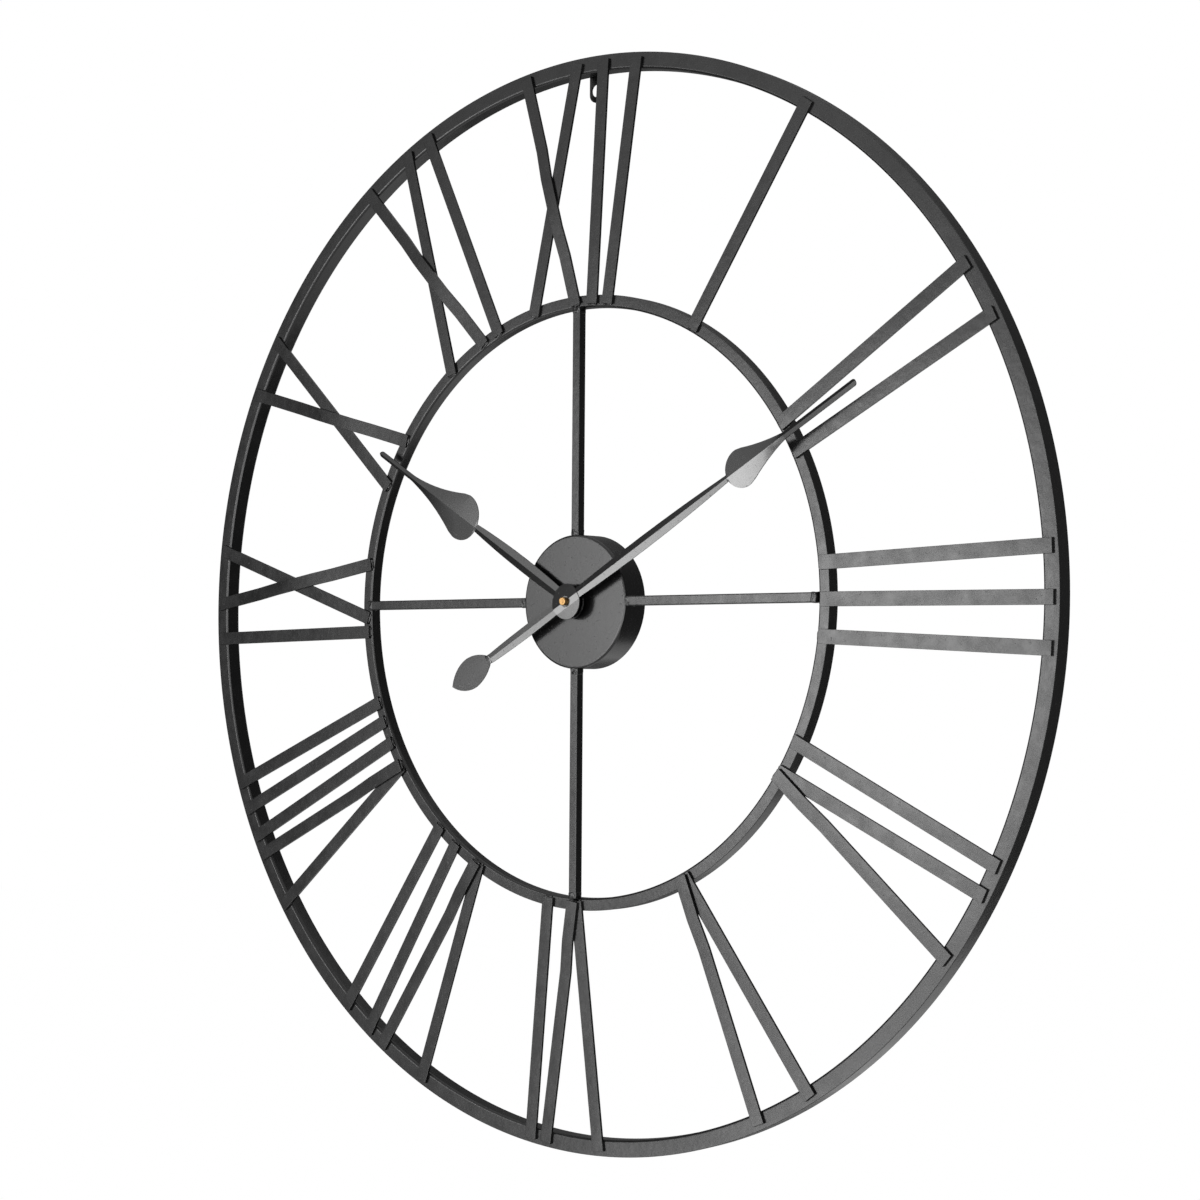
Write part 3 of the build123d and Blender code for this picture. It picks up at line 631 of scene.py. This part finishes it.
def makeBoss():
    clearSelection()
    bpy.ops.mesh.primitive_circle_add(vertices=foldedBoss["sides"], radius=foldedBoss["radius"],
                                      fill_type="NGON", location=(0, 0, 0), rotation=(math.pi / 2, 0, 0))
    boss = bpy.context.object
    boss.name = "minuteBoss"
    bpy.ops.object.transform_apply()
    editAll(boss)
    bpy.ops.mesh.inset(thickness=foldedBoss["radius"] - foldedBoss["hole"])
    bpy.ops.mesh.delete(type="FACE")
    bpy.ops.mesh.select_all(action="SELECT")
    bpy.ops.mesh.bisect(plane_co=(foldedBoss["rightHalf"], 0, 0), plane_no=(1, 0, 0))
    clearSelection()
    for corner in boss.data.vertices:
        corner.co.y = foldLevel(corner.co.x)
    boss.matrix_world = Matrix.Rotation(math.radians(foldedBoss["angle"]), 4, "Y")
    pick(boss)
    bpy.ops.object.transform_apply()
    editAll(boss)
    bpy.ops.mesh.normals_make_consistent(inside=False)
    clearSelection()
    if boss.data.polygons[0].normal.y > 0:       # the washer's face looks to the front
        editAll(boss)
        bpy.ops.mesh.flip_normals()
        clearSelection()
    applyModifier(boss, "SOLIDIFY", thickness=foldedBoss["sheet"], offset=-1.0)
    softenEdges(boss, foldedBoss["edge"])
    finishPiece(boss, "minute", "hand_coat")


dressMinuteHand()
makeBoss()
print("rings, hub and hands dressed")


# Weld lumps where the spokes meet the hub and the inner ring
spokeWeld = {
    "width": 7.6 * mm,
    "front": -4.15 * mm,
    "back": 3.2 * mm,
    "hubReach": (48.0 * mm, 53.4 * mm),          # from the hand axis
    "ringReach": (211.0 * mm, 216.2 * mm),
    "cuts": 6,
    "lump": 0.7 * mm,
    "settle": 3,                                 # smoothing passes
}
lumpShape = {"uniform": 0.4, "normal": 0.6, "smooth": 0.5, "levels": 1}


def weldLump(name, low, high, weld, seed):       # a lumpy bead that fills a box
    clearSelection()
    bpy.ops.mesh.primitive_cube_add(size=1.0, location=(0, 0, 0))
    lump = bpy.context.object
    lump.name = name
    editAll(lump)
    bpy.ops.mesh.subdivide(number_cuts=weld["cuts"])
    bpy.ops.transform.resize(value=high - low)
    bpy.ops.transform.translate(value=(low + high) / 2)
    bpy.ops.transform.vertex_random(offset=weld["lump"], uniform=lumpShape["uniform"],
                                    normal=lumpShape["normal"], seed=seed)
    bpy.ops.mesh.vertices_smooth(factor=lumpShape["smooth"], repeat=weld["settle"])
    clearSelection()
    applyModifier(lump, "SUBSURF", levels=lumpShape["levels"], render_levels=lumpShape["levels"])
    pick(lump)
    bpy.ops.object.shade_smooth()
    return lump


def weldSpokes():
    half = spokeWeld["width"] / 2
    seed = 1
    for side, along in {"top": (0, 1), "right": (1, 0), "bottom": (0, -1), "left": (-1, 0)}.items():
        axis = Vector((along[0], 0.0, along[1]))
        across = Vector((abs(along[1]), 0.0, abs(along[0])))
        for end in ("hub", "ring"):
            near, far = spokeWeld[end + "Reach"]
            corners = [axis * near - across * half, axis * far + across * half]
            low = Vector([min(values) for values in zip(*corners)])
            high = Vector([max(values) for values in zip(*corners)])
            low.y = spokeWeld["front"]
            high.y = spokeWeld["back"]
            lump = weldLump(f"{end}Weld{side.capitalize()}", low, high, spokeWeld, seed)
            finishPiece(lump, "frame", "powder_coat")
            seed += 1


weldSpokes()
print("spokes welded")


# Beads where the numeral strips and the hanger tab are welded to the rings; the outer ends are welded flush
stripEnds = {                    # degrees clockwise from the hour, at the inner and at the outer ring
    1: [(-1.0, 1.2)],
    2: [(-3.0, -2.85), (3.0, 2.95)],
    3: [(-6.2, -4.35), (0.3, 0.35), (6.9, 5.0)],
    4: [(-3.6, -4.05), (3.3, 6.45), (2.75, -0.95)],
    5: [(2.8, 4.9), (2.3, -2.2)],
    6: [(0.1, 3.8), (-0.45, -3.55), (6.8, 5.95)],
    7: [(-3.3, 0.05), (-4.0, -7.0), (3.55, 2.7), (9.0, 7.05)],
    8: [(-4.65, -0.7), (-4.9, -7.55), (0.7, 1.65), (5.5, 5.2), (9.65, 8.5)],
    9: [(-5.45, -3.65), (8.65, 0.45), (-2.6, 7.0)],
    10: [(5.8, -3.55), (-4.75, 3.5)],
    11: [(4.15, -4.25), (-6.25, 3.1), (8.45, 6.6)],
    12: [(-0.85, -7.8), (-11.75, -0.4), (3.3, 3.25), (7.15, 7.8)],
}
lappedEnds = {4: 1, 5: 0, 6: 0, 7: 0, 8: 0}      # the strip of the hour whose inner end lies on its neighbour
stripBead = {
    "length": 7.0 * mm,          # across the strip
    "breadth": 2.0 * mm,
    "proud": 0.9 * mm,
    "sunk": 0.5 * mm,
    "cuts": 4,
    "lump": 0.8 * mm,
    "settle": 1,
    "kinds": 5,
    "kindStep": 3,               # from hour to hour
    "firstSeed": 40,
    "innerRadius": 218.0 * mm,
    "outerRadius": 396.5 * mm,
    "step": 0.3 * mm,            # from the strip's end to the bead's middle
    "lapLift": 1.6 * mm,
}
hourTurn = 30.0
tabBeads = {"left": (-3.7 * mm, 392.6 * mm), "right": (9.9 * mm, 391.9 * mm), "ringBack": 13.0 * mm}


def clockPoint(radius, degrees):                 # clockwise from 12, seen from the front
    turn = math.radians(degrees)
    return Vector((radius * math.sin(turn), 0.0, radius * math.cos(turn)))


def beadPlace(middle, across, outward):          # a bead is made lying along X, with its back at Y 0
    back = across.cross(outward) * -1.0
    return Matrix.Translation(middle) @ Matrix((across, back, outward)).transposed().to_4x4()


def weldStrips():
    half = Vector((stripBead["length"] / 2, 0.0, stripBead["breadth"] / 2))
    low = Vector((-half.x, -stripBead["proud"], -half.z))
    high = Vector((half.x, stripBead["sunk"], half.z))
    kinds = []
    for kind in range(stripBead["kinds"]):
        kinds.append(weldLump(f"bead{kind}", low, high, stripBead, stripBead["firstSeed"] + kind))
    inner = []
    for hour, ends in stripEnds.items():
        for strip, (nearTurn, farTurn) in enumerate(ends):
            near = clockPoint(stripBead["innerRadius"], hour * hourTurn + nearTurn)
            far = clockPoint(stripBead["outerRadius"], hour * hourTurn + farTurn)
            outward = (far - near).normalized()
            across = Vector((outward.z, 0.0, -outward.x))
            lift = stripBead["lapLift"] if lappedEnds.get(hour) == strip else 0.0
            middle = near - outward * stripBead["step"] - Vector((0.0, lift, 0.0))
            kind = kinds[(hour * stripBead["kindStep"] + strip) % len(kinds)]
            inner.append(placedCopy(kind, beadPlace(middle, across, outward)))
    finishPiece(joinPieces(inner, "innerStripWelds"), "frame", "powder_coat")
    beads = []
    for side in ("left", "right"):
        x, z = tabBeads[side]
        upright = Matrix.Translation((x, tabBeads["ringBack"], z)) @ Matrix.Rotation(math.pi, 4, "Z")
        upright = upright @ Matrix.Rotation(math.pi / 2, 4, "Y")
        beads.append(placedCopy(kinds[len(beads)], upright))
    finishPiece(joinPieces(beads, "hangerWelds"), "frame", "powder_coat")
    for kind in kinds:
        removePiece(kind)
    print("strip ends welded:", len(inner))


weldStrips()


# Movement: mouldings and turned pieces with their edges broken
mouldedEdge = {"width": 0.4 * mm, "segments": 3, "angle": 40.0, "smooth": 32.0}
turnedEdge = {"width": 0.15 * mm, "segments": 2, "angle": 40.0, "smooth": 32.0}
for nodeName, pieceName in {"movement_case": "movementCase", "movement_cover": "movementCover"}.items():
    dressNode(nodeName, pieceName, mouldedEdge)
turnedPieces = {
    "set_knob": "setKnob",
    "fixing_nut": "fixingNut",
    "fixing_washer": "fixingWasher",
    "hand_nut": "handNut",
    "hour_hand_bush": "hourBush",
    "minute_hand_bush": "minuteBush",
}
for nodeName, pieceName in turnedPieces.items():
    dressNode(nodeName, pieceName, turnedEdge)

coverMarks = {
    "face": 14.0 * mm,           # the cover's back
    "proud": 0.3 * mm,
    "crossed": 0.27 * mm,        # where a bar meets another
    "width": 0.9 * mm,
    "signLength": 3.8 * mm,
    "signSide": 21.5 * mm,
    "signHeight": -8.4 * mm,
    "borderSide": 25.6 * mm,
    "borderTop": 25.6 * mm,
    "borderBottom": -5.2 * mm,
    "edge": 0.14 * mm,
    "edgeSegments": 2,
    "smooth": 32.0,
    "knob": (11.276 * mm, 4.104 * mm),
    "arrowRadius": 7.6 * mm,
    "arrowTurn": 235.0,
    "arrowSteps": 36,
    "headRadius": 1.5 * mm,
    "mergeGap": 0.001 * mm,
}


def raisedBar(x, z, width, height, proud=coverMarks["proud"]):       # a moulded bar on the cover's back
    clearSelection()
    bpy.ops.mesh.primitive_cube_add(size=1.0, location=(0, 0, 0))
    bar = bpy.context.object
    editAll(bar)
    bpy.ops.transform.resize(value=(width, proud * 2, height))
    bpy.ops.transform.translate(value=(x, coverMarks["face"], z))
    bpy.ops.mesh.bevel(offset=coverMarks["edge"], segments=coverMarks["edgeSegments"], affect="EDGES")
    clearSelection()
    return bar


def turnArrow():                                 # an arc round the knob with a pointed end
    x, z = coverMarks["knob"]
    clearSelection()
    bpy.ops.mesh.primitive_plane_add(size=1.0, location=(0, 0, 0))
    arc = bpy.context.object
    editAll(arc)
    bpy.ops.transform.resize(value=(coverMarks["width"], coverMarks["proud"] * 2, 1.0))
    bpy.ops.transform.translate(value=(x + coverMarks["arrowRadius"], coverMarks["face"], z))
    bpy.ops.mesh.spin(steps=coverMarks["arrowSteps"], angle=math.radians(coverMarks["arrowTurn"]),
                      center=(x, coverMarks["face"], z), axis=(0, 1, 0))
    bpy.ops.mesh.select_all(action="SELECT")
    bpy.ops.mesh.remove_doubles(threshold=coverMarks["mergeGap"])
    bpy.ops.mesh.fill_holes(sides=4)
    bpy.ops.mesh.normals_make_consistent(inside=False)
    clearSelection()
    return arc


def makeCoverMarks():
    length = coverMarks["signLength"]
    width = coverMarks["width"]
    side = coverMarks["signSide"]
    level = coverMarks["signHeight"]
    signs = [
        raisedBar(side, level, length, width, coverMarks["crossed"]),
        raisedBar(side, level, width, length),
        raisedBar(-side, level, length, width),
    ]
    wide = coverMarks["borderSide"] * 2
    top = coverMarks["borderTop"]
    bottom = coverMarks["borderBottom"]
    for z in (top, bottom):
        signs.append(raisedBar(0.0, z, wide, width, coverMarks["crossed"]))
    for x in (-wide / 2, wide / 2):
        signs.append(raisedBar(x, (top + bottom) / 2, width, top - bottom))
    signs.append(turnArrow())
    x, z = coverMarks["knob"]
    first = Vector((x + coverMarks["arrowRadius"], coverMarks["face"], z))
    clearSelection()
    bpy.ops.mesh.primitive_cylinder_add(vertices=3, radius=coverMarks["headRadius"],
                                        depth=coverMarks["proud"] * 2, location=(0, 0, 0))
    head = bpy.context.object
    editAll(head)
    bpy.ops.mesh.bevel(offset=coverMarks["edge"], segments=coverMarks["edgeSegments"], affect="EDGES")
    clearSelection()
    head.matrix_world = Matrix.Translation(first) @ Matrix.Rotation(math.pi / 2, 4, "X")
    pick(head)
    bpy.ops.object.transform_apply()
    signs.append(head)
    marks = joinPieces(signs, "coverMarks")
    pick(marks)
    bpy.ops.object.shade_smooth_by_angle(angle=math.radians(coverMarks["smooth"]))
    finishPiece(marks, "frame", "case_plastic")


makeCoverMarks()


# Battery: a drawn can in a plain jacket, with its crimped ends
cell = {
    "radius": 7.25 * mm,
    "left": -25.2 * mm,
    "right": 24.0 * mm,
    "depth": 6.55 * mm,
    "height": -19.25 * mm,
    "sides": 64,
    "rim": 1.1 * mm,
    "recess": 0.5 * mm,
    "nubReach": 1.2 * mm,
    "nubRadius": 2.7 * mm,
    "discRadius": 4.6 * mm,
    "facing": 0.9,               # how far a face has to look along the cell to be an end
    "near": 0.1 * mm,
    "edge": {"width": 0.3 * mm, "segments": 3, "angle": 40.0, "smooth": 32.0},
}


def makeCell():
    clearSelection()
    middle = ((cell["left"] + cell["right"]) / 2, cell["depth"], cell["height"])
    bpy.ops.mesh.primitive_cylinder_add(vertices=cell["sides"], radius=cell["radius"],
                                        depth=cell["right"] - cell["left"], location=middle,
                                        rotation=(0.0, math.pi / 2, 0.0))
    can = bpy.context.object
    can.name = "batteryCell"
    bpy.ops.object.transform_apply()
    pickFaces(can, lambda face: face.normal.x > cell["facing"])
    bpy.ops.mesh.inset(thickness=cell["rim"])
    bpy.ops.mesh.extrude_region_move(TRANSFORM_OT_translate={"value": (-cell["recess"], 0.0, 0.0)})
    bpy.ops.mesh.inset(thickness=cell["radius"] - cell["rim"] - cell["nubRadius"])
    rise = cell["recess"] + cell["nubReach"]
    bpy.ops.mesh.extrude_region_move(TRANSFORM_OT_translate={"value": (rise, 0.0, 0.0)})
    end = cell["left"] + cell["near"]
    pickFaces(can, lambda face: face.normal.x < -cell["facing"] and face.center.x < end)
    bpy.ops.mesh.inset(thickness=cell["rim"])
    bpy.ops.mesh.extrude_region_move(TRANSFORM_OT_translate={"value": (cell["recess"], 0.0, 0.0)})
    bpy.ops.mesh.inset(thickness=cell["radius"] - cell["rim"] - cell["discRadius"])
    bpy.ops.mesh.extrude_region_move(TRANSFORM_OT_translate={"value": (-cell["recess"], 0.0, 0.0)})
    clearSelection()
    softenEdges(can, cell["edge"])
    finishPiece(can, "battery", "battery_jacket", "battery")


makeCell()
print("movement dressed")


# Camera, where the picture was taken from
view = {
    "azimuth": 40.69,
    "elevation": -1.763,
    "roll": 0.406,
    "distance": 1.775574,
    "target": Vector((0.021454, 0.0, 0.001063)),
    "focalPixels": 2449.268,
    "framePixels": 1200.0,
    "sensor": 36.0,
}


def bearing(azimuth, elevation):                 # a unit vector from the clock, 0 is straight in front
    turn = math.radians(azimuth)
    rise = math.radians(elevation)
    return Vector((math.sin(turn) * math.cos(rise), -math.cos(turn) * math.cos(rise), math.sin(rise)))


def placeCamera():
    back = bearing(view["azimuth"], view["elevation"])
    level = Vector((math.cos(math.radians(view["azimuth"])), math.sin(math.radians(view["azimuth"])), 0.0))
    lean = math.radians(view["roll"])
    upright = back.cross(level)
    right = level * math.cos(lean) + upright * math.sin(lean)
    up = upright * math.cos(lean) - level * math.sin(lean)
    bpy.ops.object.camera_add()
    camera = bpy.context.object
    camera.data.sensor_width = view["sensor"]
    camera.data.lens = view["focalPixels"] / view["framePixels"] * view["sensor"]
    camera.matrix_world = Matrix.Translation(view["target"] + back * view["distance"]) @ Matrix(
        (right, up, back)
    ).transposed().to_4x4()
    bpy.context.scene.camera = camera


clearSelection()
placeCamera()


# Studio: soft lamps, a pale floor, a white surround, and curved cards that only reflections show
lamps = {                        # place is the azimuth and elevation in degrees, size the width and height
    "front": {"place": (-31.0, -0.5), "distance": 6.0, "size": (1.35, 1.5), "power": 60.0},
    "side": {"place": (-38.0, 4.0), "distance": 6.0, "size": (1.1, 1.0), "power": 9.0},
    "low": {"place": (-29.0, -18.5), "distance": 4.5, "size": (1.3, 0.9), "power": 29.0},
    "high": {"place": (-30.0, 20.0), "distance": 6.0, "size": (0.9, 0.6), "power": 3.5},
}
surround = {
    "light": 0.22,
    "floorHeight": -2.3,
    "floorSize": 40.0,
    "floorColour": (0.82, 0.82, 0.82),
    "floorGlow": 1.09,           # for rays that show the floor
    "floorGlowShare": 0.9,
}
cards = {                        # span is the azimuths, in degrees
    "rightScreen": {"radius": 2.7, "top": 2.7, "bottom": -2.28, "span": (62.0, 168.0), "glow": 0.14},
    "rearScreen": {"radius": 2.7, "top": 2.7, "bottom": 0.6, "span": (168.0, 200.0), "glow": 0.14},
    "leftScreen": {"radius": 2.7, "top": 2.7, "bottom": -1.9, "span": (200.0, 309.0), "glow": 0.14},
    "brightCard": {"radius": 3.0, "top": 0.5, "bottom": -1.6, "span": (-10.0, 60.0), "glow": 4.5},
}
cardSides = 180

for lampName, lamp in lamps.items():
    aim = bearing(*lamp["place"])
    bpy.ops.object.light_add(type="AREA", location=aim * lamp["distance"])
    light = bpy.context.object
    light.name = lampName
    light.rotation_euler = aim.to_track_quat("Z", "Y").to_euler()
    light.data.shape = "RECTANGLE"
    light.data.size, light.data.size_y = lamp["size"]
    light.data.energy = lamp["power"]
    light.visible_camera = False


def seenRays(finish):                            # 1 for rays that show the surround, 0 for rays that light
    camera = finish.node("ShaderNodeLightPath", output="Is Camera Ray")
    glossy = finish.node("ShaderNodeLightPath", output="Is Glossy Ray")
    through = finish.node("ShaderNodeLightPath", output="Is Transmission Ray")
    return camera.maths("MAXIMUM", camera.maths("MAXIMUM", camera, glossy), through)


def makeSurround():
    world = bpy.data.worlds.new("studioSurround")
    bpy.context.scene.world = world
    finish = Finish(world)
    strength = surround["light"] + seenRays(finish) * (1.0 - surround["light"])
    glow = finish.node("ShaderNodeBackground", None, {"Color": (1, 1, 1, 1), "Strength": strength})
    finish.node("ShaderNodeOutputWorld", None, {"Surface": glow})


def makeFloor():
    clearSelection()
    bpy.ops.mesh.primitive_plane_add(size=surround["floorSize"], location=(0, 0, surround["floorHeight"]))
    floor = bpy.context.object
    floor.name = "studioFloor"
    finish = newFinish("paleFloor")
    matte = finish.node("ShaderNodeBsdfDiffuse", None, {"Color": (*surround["floorColour"], 1)})
    glow = {"Color": (1, 1, 1, 1), "Strength": surround["floorGlow"]}
    white = finish.node("ShaderNodeEmission", None, glow)
    share = seenRays(finish) * surround["floorGlowShare"]
    mixed = finish.node("ShaderNodeMixShader", None, {0: share, 1: matte, 2: white})
    finish.node("ShaderNodeOutputMaterial", None, {"Surface": mixed})
    floor.data.materials.append(finish.owner)


def azimuthOf(place):
    return math.degrees(math.atan2(place.x, -place.y))


def makeCard(cardName, card):                    # shapes the light lines and the black of the edges
    clearSelection()
    start, end = card["span"]
    middle = (card["top"] + card["bottom"]) / 2
    bpy.ops.mesh.primitive_cylinder_add(vertices=cardSides, radius=card["radius"],
                                        depth=card["top"] - card["bottom"], end_fill_type="NOTHING",
                                        location=(0, 0, middle))
    sheet = bpy.context.object
    sheet.name = cardName
    pickFaces(sheet, lambda face: (azimuthOf(face.center) - start) % 360 > end - start)
    bpy.ops.mesh.delete(type="FACE")
    clearSelection()
    sheet.visible_camera = False
    sheet.visible_diffuse = False
    sheet.visible_shadow = False
    finish = newFinish(cardName)
    glow = finish.node("ShaderNodeEmission", None, {"Color": (1, 1, 1, 1), "Strength": card["glow"]})
    finish.node("ShaderNodeOutputMaterial", None, {"Surface": glow})
    sheet.data.materials.append(finish.owner)


makeSurround()
makeFloor()
for cardName, card in cards.items():
    makeCard(cardName, card)
bpy.context.scene.view_settings.view_transform = "Standard"
print("studio set")
